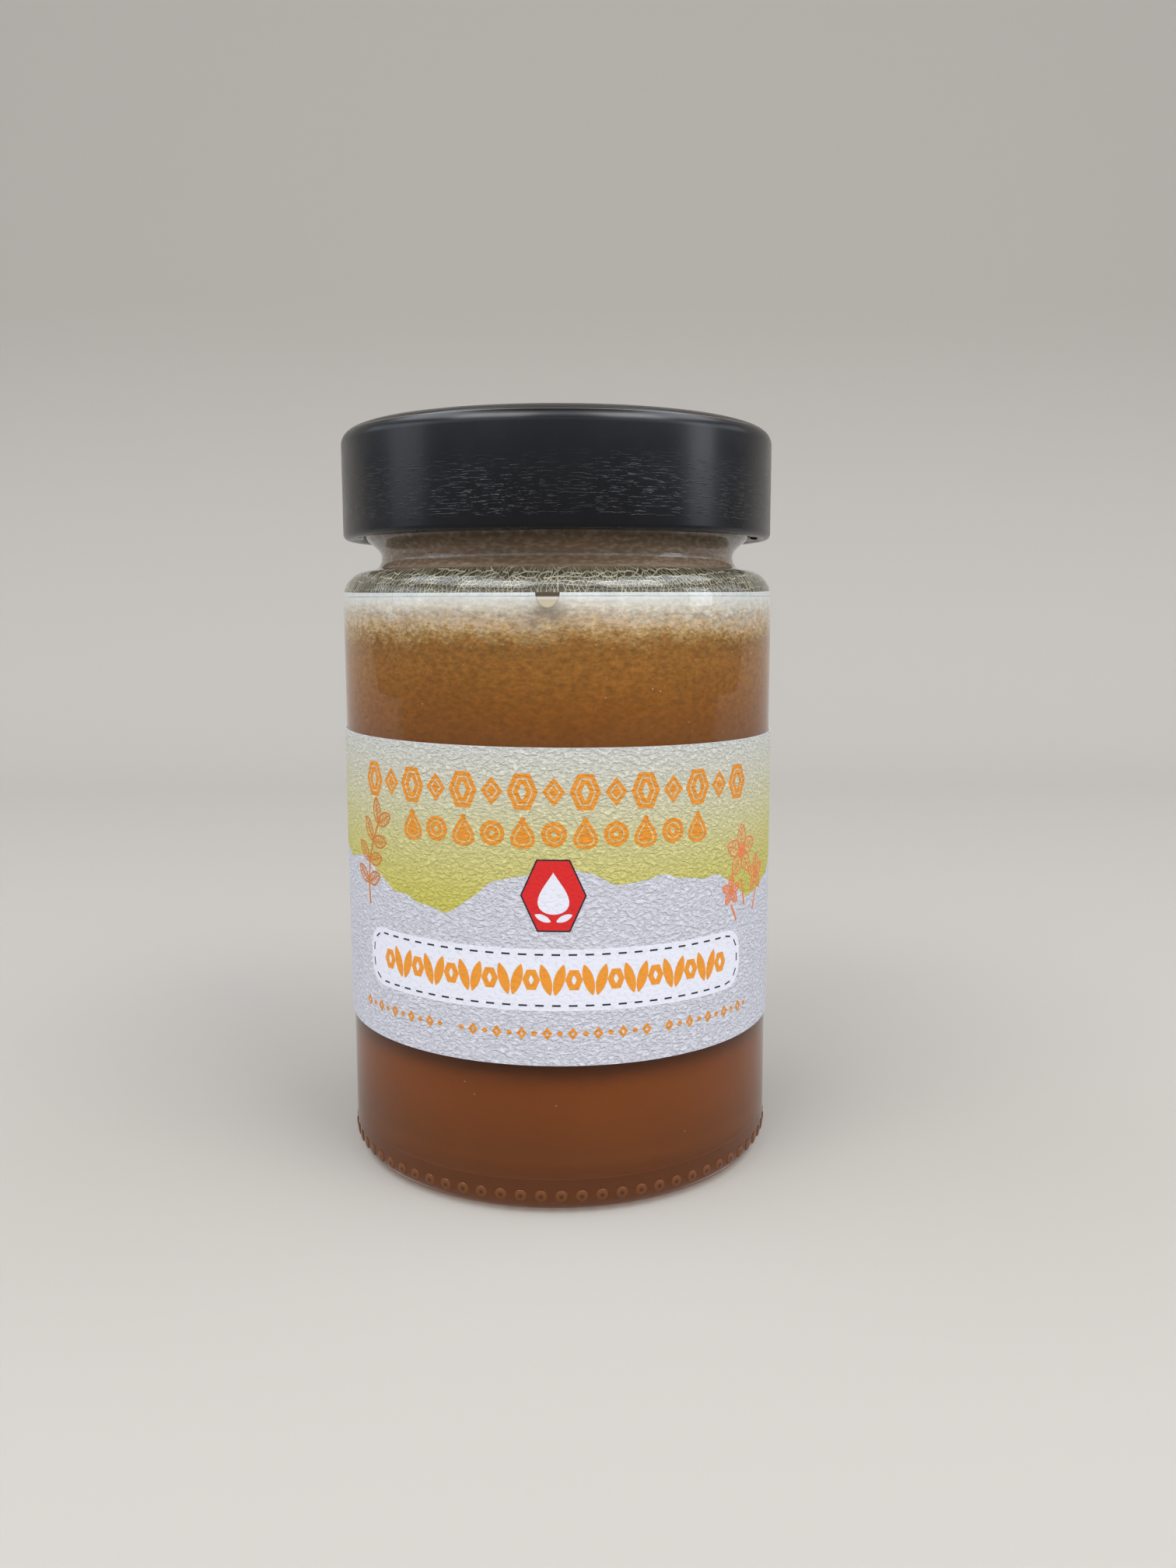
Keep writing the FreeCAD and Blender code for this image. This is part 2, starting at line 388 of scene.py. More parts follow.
innerRadius = bodyRadius - glass["wall"]
glassTop = glassBox[1].z / mm
lidBottom, lidTop = lidBox[0].z / mm, lidBox[1].z / mm
shoulderTop = lidBottom - glass["neckShow"]
waistRadius = glass["mouthRadius"] - glass["waistInset"]
mouthBottom = lidBottom + glass["flareUnderLid"]
waistTop = mouthBottom - glass["flareRise"]


def insideCorners(gap, floorGap=0.0):
    # the inside of the glass, from the floor's centre to the neck, drawn in and lifted by the gaps
    waistInner = waistRadius - glass["waistWall"] - gap
    underShoulder = shoulderTop - glass["wall"] - gap
    edge = glass["baseEdge"] + floorGap
    return [
        (0, glass["pushUp"] + glass["baseCentre"] + floorGap, 0),
        (innerRadius - glass["innerHeel"], edge, 0),
        (innerRadius - gap, edge, glass["innerHeel"]),
        (innerRadius - gap, underShoulder, glass["innerShoulder"]),
        (waistInner, underShoulder + glass["neckRise"], glass["neckInner"]),
        (waistInner, waistTop, glass["neckInner"]),
    ]


def clearGlass():
    material, tree, shader = newMaterial("clearGlass", {
        "Base Color": tone(*glass["colour"]), "Roughness": glass["roughness"], "IOR": glass["ior"],
        "Transmission Weight": 1.0})
    waves = noiseOn(tree, objectPlace(tree)[0], glass["waves"], 2.0)
    bumped(tree, shader, waves, glass["waveDepth"], 0.6)  # the slight unevenness of moulded glass
    clear = addNode(tree, "BsdfTransparent")
    mix = addNode(tree, "MixShader", {
        0: addNode(tree, "LightPath").outputs["Is Shadow Ray"], 1: shader.outputs["BSDF"],
        2: clear.outputs["BSDF"]})
    tree.links.new(mix.outputs["Shader"], tree.nodes["Material Output"].inputs["Surface"])
    return material


def studGlass():
    # painted: each stud is coloured as the confit seen through clear glass, with a painted dark middle and
    # a painted light ring where the stud draws the view together
    g = glass
    material, tree, shader = newMaterial("studGlass", {"Roughness": 0.2, "Specular IOR Level": 0.4})
    x, y, z = objectPlace(tree)[1]
    turn = times(tree, maths(tree, "ARCTAN2", x, y), g["studs"] / (2 * math.pi))
    place = maths(tree, "WRAP", turn, 0.5, -0.5)
    across = times(tree, place, 2 * math.pi * bodyRadius / g["studs"])
    up = maths(tree, "MULTIPLY_ADD", z, 1 / mm, -g["studHeight"])
    paint(tree, shader, colourRamp(tree, lengthOf(tree, across, up), g["studPaintedShades"]))
    return material


def tabGlass():
    # painted: the clear tab is coloured as the foam seen through it, a little darker for the shade it
    # casts, with a painted lighter band and a painted dark line along its flat top where it looks into the
    # headspace
    g = glass
    material, tree, shader = newMaterial("tabGlass", {"Roughness": 0.15, "Specular IOR Level": 0.4})
    height = objectPlace(tree)[1][2]
    top = (shoulderTop - g["shoulderRounding"] + g["tabAboveEdge"]) * mm
    share = ranged(tree, height, top - g["tabRadius"] * g["tabDrop"] * mm, top)
    paint(tree, shader, colourRamp(tree, share, g["tabPaintedShades"]))
    return material


def joinPiece(target, bm):
    # union a closed shape into a piece
    tool = meshObject(bm, "tool")
    cut = target.modifiers.new("join", "BOOLEAN")
    cut.operation = "UNION"
    cut.solver = "MANIFOLD"
    cut.object = tool
    bpy.context.view_layer.update()
    graph = bpy.context.evaluated_depsgraph_get()
    joined = bpy.data.meshes.new_from_object(target.evaluated_get(graph))
    target.modifiers.clear()
    spare = [target.data, tool.data]
    target.data = joined
    joined.name = target.name
    bpy.data.objects.remove(tool)
    for mesh in spare:
        bpy.data.meshes.remove(mesh)


def studRing():
    # a ring of small raised studs low on the heel
    g = glass
    under = g["heelRounding"] - g["studHeight"]
    out = bodyRadius - g["heelRounding"] + math.sqrt(g["heelRounding"] ** 2 - under ** 2)
    lean = Matrix.Rotation(math.asin(under / g["heelRounding"]), 4, "X")
    bm = bmesh.new()
    for i in range(g["studs"]):
        turn = Matrix.Rotation(2 * math.pi * i / g["studs"], 4, "Z")
        place = Matrix.Translation(Vector((0, -out, g["studHeight"])) * mm)
        shape = Matrix.Diagonal((*g["studSize"], 1 / mm)) * mm
        bmesh.ops.create_icosphere(bm, subdivisions=3, radius=1.0, matrix=turn @ place @ lean @ shape)
    return bm


def halfRoundTab():
    g = glass
    top = (shoulderTop - g["shoulderRounding"] + g["tabAboveEdge"]) * mm
    front = bodyRadius + g["tabStandOut"]
    depth = g["wall"] / 2 + g["tabStandOut"]
    bm = bmesh.new()
    bmesh.ops.create_cone(
        bm, cap_ends=True, segments=48, radius1=g["tabRadius"] * mm, radius2=g["tabRadius"] * mm,
        depth=depth * mm)
    turned(bm, bm.verts, 90, "X")
    bmesh.ops.translate(bm, verts=bm.verts, vec=(0, (depth / 2 - front) * mm, top))
    cutLevel(bm, top, 1)
    rim = [e for e in bm.edges if all(abs(v.co.y + front * mm) < 1e-6 for v in e.verts)]
    bmesh.ops.bevel(
        bm, geom=rim, offset=g["tabSoft"] * mm, segments=4, affect="EDGES", profile=0.5, material=-1)
    turned(bm, bm.verts, g["tabTurn"])
    bmesh.ops.scale(
        bm, verts=bm.verts, vec=(1, 1, g["tabDrop"]), space=Matrix.Translation((0, 0, -top)))
    bmesh.ops.recalc_face_normals(bm, faces=bm.faces)
    return bm


def threadRamp(lugAngle):
    g = glass
    lugTop = lidBottom + lid["lugLift"] + lid["lugHeight"]
    mouth, low = g["mouthRadius"], lugTop + g["rampGap"] + g["rampRise"]
    root, crest = mouth - g["rampRoot"], mouth + g["rampOut"]
    crestLow, crestHigh = g["rampCrest"]
    outline = [Vector((radius, 0, low + up)) for radius, up in (
        (root, 0), (mouth, 0), (crest, crestLow), (crest, crestHigh),
        (mouth, g["rampHeight"]), (root, g["rampHeight"]))]
    return spun(
        [point * mm for point in outline], 48, closed=True, degrees=g["rampSpan"],
        start=lugAngle - g["rampSpan"] / 2, rise=-g["rampRise"] * mm)


def makeJarGlass():
    g = glass
    bearingInner = bodyRadius - g["heelRounding"] - g["bearingWidth"]
    bore = g["mouthRadius"] - g["mouthWall"]
    corners = [
        (0, g["pushUp"], 0),
        (bearingInner - g["pushUpRun"], g["pushUp"], 0),
        (bearingInner, 0, g["bearingRounding"]),
        (bodyRadius, 0, g["heelRounding"]),
        (bodyRadius, shoulderTop, g["shoulderRounding"]),
        (waistRadius + g["waistLean"], shoulderTop + g["neckRise"], g["neckFoot"]),
        (waistRadius, waistTop, g["flareRounding"]),
        (g["mouthRadius"], mouthBottom, g["flareRounding"]),
        (g["mouthRadius"], glassTop, g["rimRounding"]),
        (bore, glassTop, g["rimRounding"]),
        (bore, mouthBottom, g["neckInner"]),
    ] + insideCorners(0)[::-1]
    points = roundedOutline(corners, turnStep=5)
    piece = addPiece(spun(points, g["segments"]), "jarGlass", clearGlass(), ["jar_glass"])
    for i in range(lid["lugCount"]):
        joinPiece(piece, threadRamp(g["lugPhase"] + 360 / lid["lugCount"] * i))
    piece.data.set_sharp_from_angle(angle=math.radians(40))
    print("jarGlass joined", len(piece.data.polygons), "faces")
    addPiece(studRing(), "heelStuds", studGlass())
    addPiece(halfRoundTab(), "glassTab", tabGlass())


makeJarGlass()


lidLook = {
    "colour": (9, 9, 13), "insideColour": (150, 126, 96),
    "specular": 0.4, "roughness": 0.27, "coat": 0.08, "coatRoughness": 0.14,
    "wrinkleTop": (112.0, 106.0), "wrinkleBottom": (102.1, 102.9), "wrinkleDepth": 0.042,
    "creaseTurn": 15.0, "creaseHeight": 4200.0, "creaseEdge": (0.56, 0.66), "patches": 60.0,
    "peel": 900.0, "peelShare": 0.10, "wear": 140.0, "wornFrom": (0.3, 0.7), "wornSteps": (-0.03, 0.04),
    "insideWall": 1.3, "insideFrom": 0.6,
}


def blackLacquer():
    look = lidLook
    material, tree, shader = newMaterial("blackLacquer", {
        "Base Color": tone(*look["colour"]), "Roughness": look["roughness"],
        "Specular IOR Level": look["specular"], "Coat Weight": look["coat"],
        "Coat Roughness": look["coatRoughness"]})
    place, (x, y, height) = objectPlace(tree)
    # fine level creases where the deep skirt was drawn
    turn = times(tree, maths(tree, "ARCTAN2", x, y), look["creaseTurn"])
    level = times(tree, height, look["creaseHeight"])
    crease = addNode(tree, "CombineXYZ", {0: turn, 2: level}).outputs[0]
    sharp = ranged(tree, noiseOn(tree, crease, 1.0, 2.0), *look["creaseEdge"])
    upper = rangedMm(tree, height, look["wrinkleTop"])
    lower = rangedMm(tree, height, look["wrinkleBottom"])
    patchy = ranged(tree, noiseOn(tree, place, look["patches"], 2.0), 0.35, 0.6, 0.5, 1.0)
    amount = times(tree, times(tree, upper, lower), patchy)
    relief = times(tree, sharp, amount)
    peel = noiseOn(tree, place, look["peel"], 2.0)
    bumped(tree, shader, maths(tree, "MULTIPLY_ADD", peel, look["peelShare"], relief), look["wrinkleDepth"])
    ends = [look["roughness"] + step for step in look["wornSteps"]]
    worn = ranged(tree, noiseOn(tree, place, look["wear"], 4.0), *look["wornFrom"], *ends)
    tree.links.new(worn, shader.inputs["Roughness"])
    # the inside of the lid has a dull gold lacquer
    walls = lidBox[1].x - look["insideWall"] * lid["sheet"] * mm
    ceiling = lidBox[1].z - (lid["panelDrop"] + lid["sheet"] / 2) * mm
    inBore = maths(tree, "LESS_THAN", lengthOf(tree, x, y), walls)
    inHeight = maths(tree, "LESS_THAN", height, ceiling)
    aboveCurl = maths(tree, "GREATER_THAN", height, lidBox[0].z + look["insideFrom"] * mm)
    inside = times(tree, times(tree, inBore, inHeight), aboveCurl)
    paint(tree, shader, mixColours(tree, inside, tone(*look["colour"]), tone(*look["insideColour"])))
    return material


def makeLidShell():
    s = lid
    g = glass
    bore = g["mouthRadius"] - g["mouthWall"]
    outside = lidBox[1].x / mm
    inner = outside - s["sheet"]
    under = lidTop - s["sheet"]
    panelTop = lidTop - s["panelDrop"]
    panelFoot = bore - s["panelBoreGap"]
    stepTop = panelFoot + s["panelStep"]
    lean = s["sheet"] * 0.3
    crownStart = outside - s["crownRun"] * 0.6
    crownEnd = lidTop - s["crownDrop"] * 0.45
    corners = [
        (0, panelTop, 0),
        (panelFoot - lean, panelTop, s["sheet"]),
        (stepTop - lean, lidTop, s["sheet"]),
        (crownStart, lidTop, s["crownRounding"] * 2),
        (outside, crownEnd, s["crownRounding"]),
        (outside, lidBottom, s["curlRounding"]),
        (outside - s["curlWidth"], lidBottom, s["curlRounding"]),
        (outside - s["curlWidth"], lidBottom + s["curlHeight"], s["curlRounding"]),
        (inner, lidBottom + s["curlHeight"], 0),
        (inner, crownEnd - s["sheet"], s["crownRounding"] - s["sheet"]),
        (crownStart - lean, under, s["crownRounding"]),
        (stepTop, under, 0),
        (panelFoot, panelTop - s["sheet"], 0),
        (0, panelTop - s["sheet"], 0),
    ]
    bm = spun(roundedOutline(corners, turnStep=8), s["segments"])
    piece = addPiece(bm, "lidShell", blackLacquer(), ["lid"], sharpAngle=50)
    lugInner = g["mouthRadius"] + s["lugMouthGap"]
    lugOuter = outside - s["curlWidth"] / 2
    low, soft = lidBottom + s["lugLift"], s["lugHeight"] * 0.3
    high = low + s["lugHeight"]
    lugCorners = [(lugInner, low, soft), (lugOuter, low, 0), (lugOuter, high, 0), (lugInner, high, soft)]
    outline = roundedOutline(lugCorners, closed=True, turnStep=20)
    for i in range(s["lugCount"]):
        angle = g["lugPhase"] + 360 / s["lugCount"] * i - s["lugSpan"] / 2
        joinPiece(piece, spun(outline, 24, closed=True, degrees=s["lugSpan"], start=angle))
    piece.data.set_sharp_from_angle(angle=math.radians(50))


makeLidShell()


contents = {
    "intoWall": 0.15, "intoFloor": 0.5, "segments": 300, "levelWave": 0.35, "climb": 0.3,
    "rings": 12, "ringWidth": 2.4,
    "foamTop": foamBox[1].z / mm, "foamBottom": foamBox[0].z / mm,
}
# heights in mm and the colour at each, from the base to the top of the foam
contentTones = [
    (0.0, (98, 46, 8)), (9.0, (106, 54, 9)), (20.0, (128, 64, 13)), (69.6, (118, 68, 18)),
    (75.0, (129, 78, 22)), (79.5, (136, 88, 31)), (82.2, (139, 92, 37)), (84.4, (135, 92, 41)),
    (86.2, (162, 131, 84)), (87.5, (188, 162, 131)), (88.7, (180, 165, 146)), (90.0, (203, 195, 183)),
    (91.0, (201, 198, 196)),
]
granules = {  # noise scales, shifts and heights in mm
    "drift": 70.0, "driftShift": 3.5, "clump": 420.0, "clumpShift": 3.5, "grain": 1500.0, "grainShift": 6.0,
    "foamNears": (72.0, 84.5), "shiftFades": (87.0, 91.2), "shiftLeft": 0.12,
    "mottle": 900.0, "shades": (0.66, 1.34), "mottleStarts": (58.0, 83.0), "least": 0.06,
    "mottleFades": (88.5, 91.2), "mottleLeft": 0.25, "cloud": 40.0, "cloudShades": (0.94, 1.06),
}
glow = {"colour": (96, 50, 16), "from": (4.2, 8.8), "strength": 0.8}


def confitLook():
    material, tree, shader = newMaterial("honeyConfit", {
        "Roughness": 0.55, "Specular IOR Level": 0.05, "Subsurface Weight": 0.3,
        "Subsurface Radius": (1.0, 0.42, 0.14), "Subsurface Scale": 5 * mm})
    place, parts = objectPlace(tree)
    height = parts[2]
    flattened = addNode(tree, "Mapping", {"Vector": place, "Scale": (1, 1, 1.75)}).outputs[0]
    g = granules

    def shifted(noisy, most, before):
        return maths(tree, "MULTIPLY_ADD", maths(tree, "SUBTRACT", noisy, 0.5), most * mm, before)

    # the foam's lower edge wanders and breaks up into grains
    shift = shifted(noiseOn(tree, place, g["drift"], 2.0), g["driftShift"], 0.0)
    shift = shifted(noiseOn(tree, flattened, g["clump"], 2.0), g["clumpShift"], shift)
    shift = shifted(noiseOn(tree, flattened, g["grain"], 3.0, 0.6), g["grainShift"], shift)
    nearing = rangedMm(tree, height, g["foamNears"])
    reach = times(tree, nearing, rangedMm(tree, height, g["shiftFades"], 1.0, g["shiftLeft"]))
    moved = maths(tree, "ADD", height, times(tree, shift, reach))
    level = maths(tree, "DIVIDE", moved, contents["foamTop"] * mm)
    colour = colourRamp(tree, level, [(z / contents["foamTop"], rgb) for z, rgb in contentTones])
    # soft granules hanging in the upper confit, fewer towards the bottom
    light = ranged(tree, noiseOn(tree, flattened, g["mottle"], 4.0, 0.7), 0.33, 0.67, *g["shades"])
    starts = rangedMm(tree, height, g["mottleStarts"], g["least"])
    amount = times(tree, starts, rangedMm(tree, height, g["mottleFades"], 1.0, g["mottleLeft"]))
    speckled = mixColours(tree, amount, colour, scaledShade(tree, colour, light))
    cloud = ranged(tree, noiseOn(tree, place, g["cloud"], 3.0), 0.35, 0.65, *g["cloudShades"])
    paint(tree, shader, scaledShade(tree, speckled, cloud))
    # light that comes down through the confit shows at its underside, through the thick base
    shader.inputs["Emission Color"].default_value = tone(*glow["colour"])
    under = rangedMm(tree, height, glow["from"], glow["strength"], 0.0)
    tree.links.new(under, shader.inputs["Emission Strength"])
    return material


def makeContents():
    c = contents
    inside = roundedOutline(insideCorners(-c["intoWall"], -c["intoFloor"]), turnStep=9)
    inside.append(Vector((0, 0, waistTop * mm)))
    look = confitLook()
    confit = spun(inside, c["segments"])
    cutLevel(confit, c["foamBottom"] * mm, 1)
    bmesh.ops.recalc_face_normals(confit, faces=confit.faces)
    addPiece(confit, "confitFill", look, ["confit"], sharpAngle=45)
    foam = spun(inside, c["segments"])
    cutLevel(foam, c["foamBottom"] * mm, -1)
    high = c["foamTop"] + c["climb"]  # the foam creeps a little way up the wall
    surface = cutLevel(foam, high * mm, 1)
    for step in range(c["rings"]):  # rings of froth surface up to the rim
        bmesh.ops.inset_region(foam, faces=surface, thickness=c["ringWidth"] * mm, use_even_offset=True)
    for vert in foam.verts:
        radius = math.hypot(vert.co.x, vert.co.y)
        if vert.co.z > (high - 0.01) * mm and radius < (innerRadius - 1.5) * mm:
            wave = noise.noise(vert.co * 180) + 0.5 * noise.noise(vert.co * 520)
            vert.co.z += ((wave * 0.35 - 0.45) * c["levelWave"] - c["climb"]) * mm
    bmesh.ops.recalc_face_normals(foam, faces=foam.faces)
    addPiece(foam, "foamFill", look, ["foam"], sharpAngle=45)


makeContents()


froth = {
    "across": 0.66, "up": 0.78, "ledgeUp": 0.80, "thread": 0.15, "jitter": 0.30, "torn": 0.14,
    "intoWall": 0.12, "innerEdge": 28.8, "strays": 0.05, "colour": (214, 208, 186), "seed": 11,
}
film = {
    "high": 103.5, "intoWall": 0.05, "thick": 0.06, "colour": (214, 182, 156), "pale": (232, 212, 192),
    # ledge and corner are painted shade behind the froth: darker on the shoulder's inner ledge, darker
    # still in its outer corner
    "ledge": (160, 146, 120), "ledgeFrom": (27.6, 28.0), "corner": (78, 69, 53), "cornerFrom": (28.4, 29.2),
    "spots": 900.0, "patches": 75.0, "cover": 0.90,
}
flecks = {"low": 60, "high": 110, "sizes": (0.07, 0.17), "colour": (196, 150, 92), "seed": 5}


def wallLine(low, high, intoWall, step):
    # the inside of the glass between two heights, in even steps, as points in the XZ plane
    line = roundedOutline(insideCorners(-intoWall), turnStep=6)
    kept = [p for p in line if low * mm <= p.z <= high * mm]
    even = [kept[0]]
    for a, b in zip(kept, kept[1:]):
        gone = (b - a).length
        steps = max(1, round(gone / (step * mm)))
        even += [a.lerp(b, i / steps) for i in range(1, steps + 1)]
    thinned = [even[0]]
    for point in even[1:]:
        if (point - thinned[-1]).length > 0.7 * step * mm:
            thinned.append(point)
    return thinned


def lineAt(line, place):
    place = min(max(place, 0.0), len(line) - 1.001)
    first = int(place)
    return line[first].lerp(line[first + 1], place - first)


def frothNet(line, keep, chance):
    # a torn net of froth on the wall: jittered cells whose edges are left as threads
    f = froth
    across = round(2 * math.pi * max(p.x for p in line) / (f["across"] * mm))
    up = len(line) - 1
    bm = bmesh.new()
    bmesh.ops.create_grid(bm, x_segments=across, y_segments=up, size=0.5)
    for vert in bm.verts:
        column, row = (vert.co.x + 0.5) * across, (vert.co.y + 0.5) * up
        shift = 0.5 if round(row) % 2 else 0.0
        if 0.5 < column < across - 0.5:
            column += shift + chance.uniform(-f["jitter"], f["jitter"])
        row += chance.uniform(-f["jitter"], f["jitter"]) * (0 < round(row) < up)
        point = lineAt(line, row)
        angle = 2 * math.pi * column / across
        vert.co = Vector((point.x * math.sin(angle), -point.x * math.cos(angle), point.z))
    bmesh.ops.remove_doubles(bm, verts=bm.verts, dist=1e-6)
    bmesh.ops.triangulate(bm, faces=bm.faces)
    loose = [e for e in bm.edges if len(e.link_faces) == 2 and chance.random() < f["torn"]]
    bmesh.ops.dissolve_edges(bm, edges=loose, use_verts=False, use_face_split=False)
    gone = [face for face in bm.faces if not keep(face.calc_center_median())]
    bmesh.ops.delete(bm, geom=gone, context="FACES")
    bmesh.ops.recalc_face_normals(bm, faces=bm.faces)
    bmesh.ops.wireframe(
        bm, faces=bm.faces, thickness=f["thread"] * mm, offset=0, use_replace=True, use_boundary=True,
        use_even_offset=False)
    return bm


def frothLook(name, rgb):
    material, tree, shader = newMaterial(name, {"Roughness": 0.5, "Specular IOR Level": 0.3})
    patch = noiseOn(tree, objectPlace(tree)[0], 420.0, 3.0)
    darker = [channel * 0.72 for channel in rgb]
    paint(tree, shader, colourRamp(tree, patch, [(0.3, darker), (0.65, rgb)]))
    return material


def makeFroth():
    f = froth
    ledge = shoulderTop - glass["wall"]
    line = wallLine(contents["foamTop"] - 0.15, ledge, f["intoWall"], f["up"])
    line += wallLine(ledge, waistTop, f["intoWall"], f["ledgeUp"])

    chance = random.Random(f["seed"])

    def keep(centre):
        radius = math.hypot(centre.x, centre.y) / mm
        return radius > f["innerEdge"] + chance.uniform(-0.5, 0.3) or chance.random() < f["strays"]

    net = frothNet(line, keep, chance)
    addPiece(net, "shoulderFroth", frothLook("driedFroth", f["colour"]))


def filmLook():
    # a thin, uneven smear of confit that lets some light through
    material, tree, shader = newMaterial("driedFilm", {"Roughness": 0.45, "Specular IOR Level": 0.2})
    place, parts = objectPlace(tree)
    flattened = addNode(tree, "Mapping", {"Vector": place, "Scale": (1, 1, 1.6)}).outputs[0]
    spots = noiseOn(tree, flattened, film["spots"], 2.0)
    neck = colourRamp(tree, spots, [(0.48, film["colour"]), (0.7, film["pale"])])
    radius = lengthOf(tree, parts[0], parts[1])
    outward = rangedMm(tree, radius, film["ledgeFrom"])
    corner = rangedMm(tree, radius, film["cornerFrom"])
    # painted shade: the film is darker on the shoulder's inner ledge and darker still in its outer corner,
    # standing in for the shade behind the froth
    shadedLedge = mixColours(tree, corner, tone(*film["ledge"]), tone(*film["corner"]))
    paint(tree, shader, mixColours(tree, outward, neck, shadedLedge))
    patches = noiseOn(tree, place, film["patches"], 2.0)
    cover = ranged(tree, patches, 0.38, 0.62, film["cover"] - 0.2, film["cover"])
    thin = times(tree, cover, ranged(tree, spots, 0.40, 0.66, 0.92, 1.2))
    tree.links.new(maths(tree, "MAXIMUM", thin, outward), shader.inputs["Alpha"])
    return material


def makeFilm():
    f = film
    bore = glass["mouthRadius"] - glass["mouthWall"] + f["intoWall"]
    corners = insideCorners(-f["intoWall"])
    corners += [(bore, mouthBottom, glass["neckInner"]), (bore, f["high"], 0)]
    low = (contents["foamTop"] - 1) * mm
    line = [point for point in roundedOutline(corners, turnStep=6) if point.z > low]
    back = [point - Vector((f["thick"] * mm, 0, f["thick"] * mm)) for point in line[::-1]]
    addPiece(spun(line + back, 240, closed=True), "neckFilm", filmLook(), sharpAngle=80)


def makeFlecks():
    # pale crumbs of zest against the wall, most of them high in the confit
    f = flecks
    chance = random.Random(f["seed"])
    bm = bmesh.new()
    for i in range(f["low"] + f["high"]):
        height = chance.uniform(8, 66) if i < f["low"] else chance.triangular(68, 88, 85)
        size = chance.uniform(*f["sizes"])
        angle = chance.uniform(0, 2 * math.pi)
        radius = innerRadius + contents["intoWall"] + 0.02
        place = Vector((radius * math.sin(angle), -radius * math.cos(angle), height)) * mm
        shape = Matrix.Diagonal((size, 0.6 * size, chance.uniform(0.6, 1.1) * size, 1 / mm)) * mm
        turn = Matrix.Rotation(angle, 4, "Z") @ Matrix.Rotation(chance.uniform(-0.6, 0.6), 4, "Y")
        whole = Matrix.Translation(place) @ turn @ shape
        bmesh.ops.create_icosphere(bm, subdivisions=1, radius=1.0, matrix=whole)
    addPiece(bm, "confitFlecks", frothLook("zestCrumbs", f["colour"]))


makeFroth()
makeFilm()
makeFlecks()
print("contents and froth made")


label = {
    "bottom": 23.4, "height": 46.7, "paper": 0.25, "glueGap": 0.05, "openGap": 18.0, "skew": 0.6,
    "segments": 700, "rows": 12,
    "colour": (214, 213, 221), "grain": 1650.0, "relief": 0.24,
}
paperRadius = bodyRadius + label["glueGap"] + label["paper"]
halfWrap = math.pi * paperRadius - label["openGap"] / 2  # from the label's middle to its end


def wrapped(u, v, lift):
    # a place on the flat label, in mm from its bottom middle, bent round the jar
    angle = u / paperRadius
    radius = paperRadius + lift
    x = radius * math.sin(angle)
    skewed = label["bottom"] + v - x * math.tan(math.radians(label["skew"]))
    return Vector((x, -radius * math.cos(angle), skewed)) * mm


def bendRound(bm, cutStep=1.0):
    # cut a flat shape across every step, write its flat places as UV and bend it round the jar
    low = min(v.co.x for v in bm.verts)
    high = max(v.co.x for v in bm.verts)
    for k in range(math.ceil(low / cutStep), math.floor(high / cutStep) + 1):
        bmesh.ops.bisect_plane(
            bm, geom=bm.verts[:] + bm.edges[:] + bm.faces[:], dist=1e-5, plane_co=(k * cutStep, 0, 0),
            plane_no=(1, 0, 0))
    flat = bm.loops.layers.uv.new("flatLabel")
    for face in bm.faces:
        for loop in face.loops:
            loop[flat].uv = (loop.vert.co.x * mm, loop.vert.co.y * mm)
    bmesh.ops.recalc_face_normals(bm, faces=bm.faces)
    for vert in bm.verts:
        vert.co = wrapped(*vert.co)


def thicken(bm, low, high):
    # flat faces become a thin layer of ink between two heights above the paper
    bmesh.ops.translate(bm, verts=bm.verts, vec=(0, 0, low))
    made = bmesh.ops.extrude_face_region(bm, geom=bm.faces[:], use_keep_orig=True)["geom"]
    moved = [v for v in made if isinstance(v, bmesh.types.BMVert)]
    bmesh.ops.translate(bm, verts=moved, vec=(0, 0, high - low))


def feltRelief(tree, shader, amount=1.0):
    # the pressed felt marks of the paper, laid on its flat map so that they run on under every ink
    flat = addNode(tree, "UVMap", uv_map="flatLabel").outputs[0]
    slant = addNode(tree, "Mapping", {
        "Vector": flat, "Rotation": (0, 0, math.radians(32)), "Scale": (0.78, 1.2, 1)}).outputs[0]
    crisp = ranged(tree, noiseOn(tree, slant, label["grain"], 4.0, 0.6, 0.5), 0.36, 0.60)
    fine = noiseOn(tree, flat, label["grain"] * 2.3, 3.0, 0.6)
    height = maths(tree, "MULTIPLY_ADD", fine, 0.6, crisp)
    bumped(tree, shader, height, label["relief"] * amount)
    return crisp


def paperLook():
    material, tree, shader = newMaterial("feltPaper", {"Roughness": 0.85, "Specular IOR Level": 0.15})
    # painted shade: the paper is darker in the pits of its felt marks
    shade = [channel * 0.91 for channel in label["colour"]]
    ramp = colourRamp(tree, feltRelief(tree, shader), [(0.0, shade), (0.45, label["colour"])])
    paint(tree, shader, ramp)
    return material


def inkLook(name):
    # flat printing ink, painted a little darker in the paper's felt pits as shade, with the paper's relief
    # showing through
    rgb, felt, roughness = inks[name]
    material, tree, shader = newMaterial(name, {"Roughness": roughness, "Specular IOR Level": 0.25})
    darker = [channel * 0.95 for channel in rgb]
    paint(tree, shader, colourRamp(tree, feltRelief(tree, shader, felt), [(0.0, darker), (0.5, rgb)]))
    return material


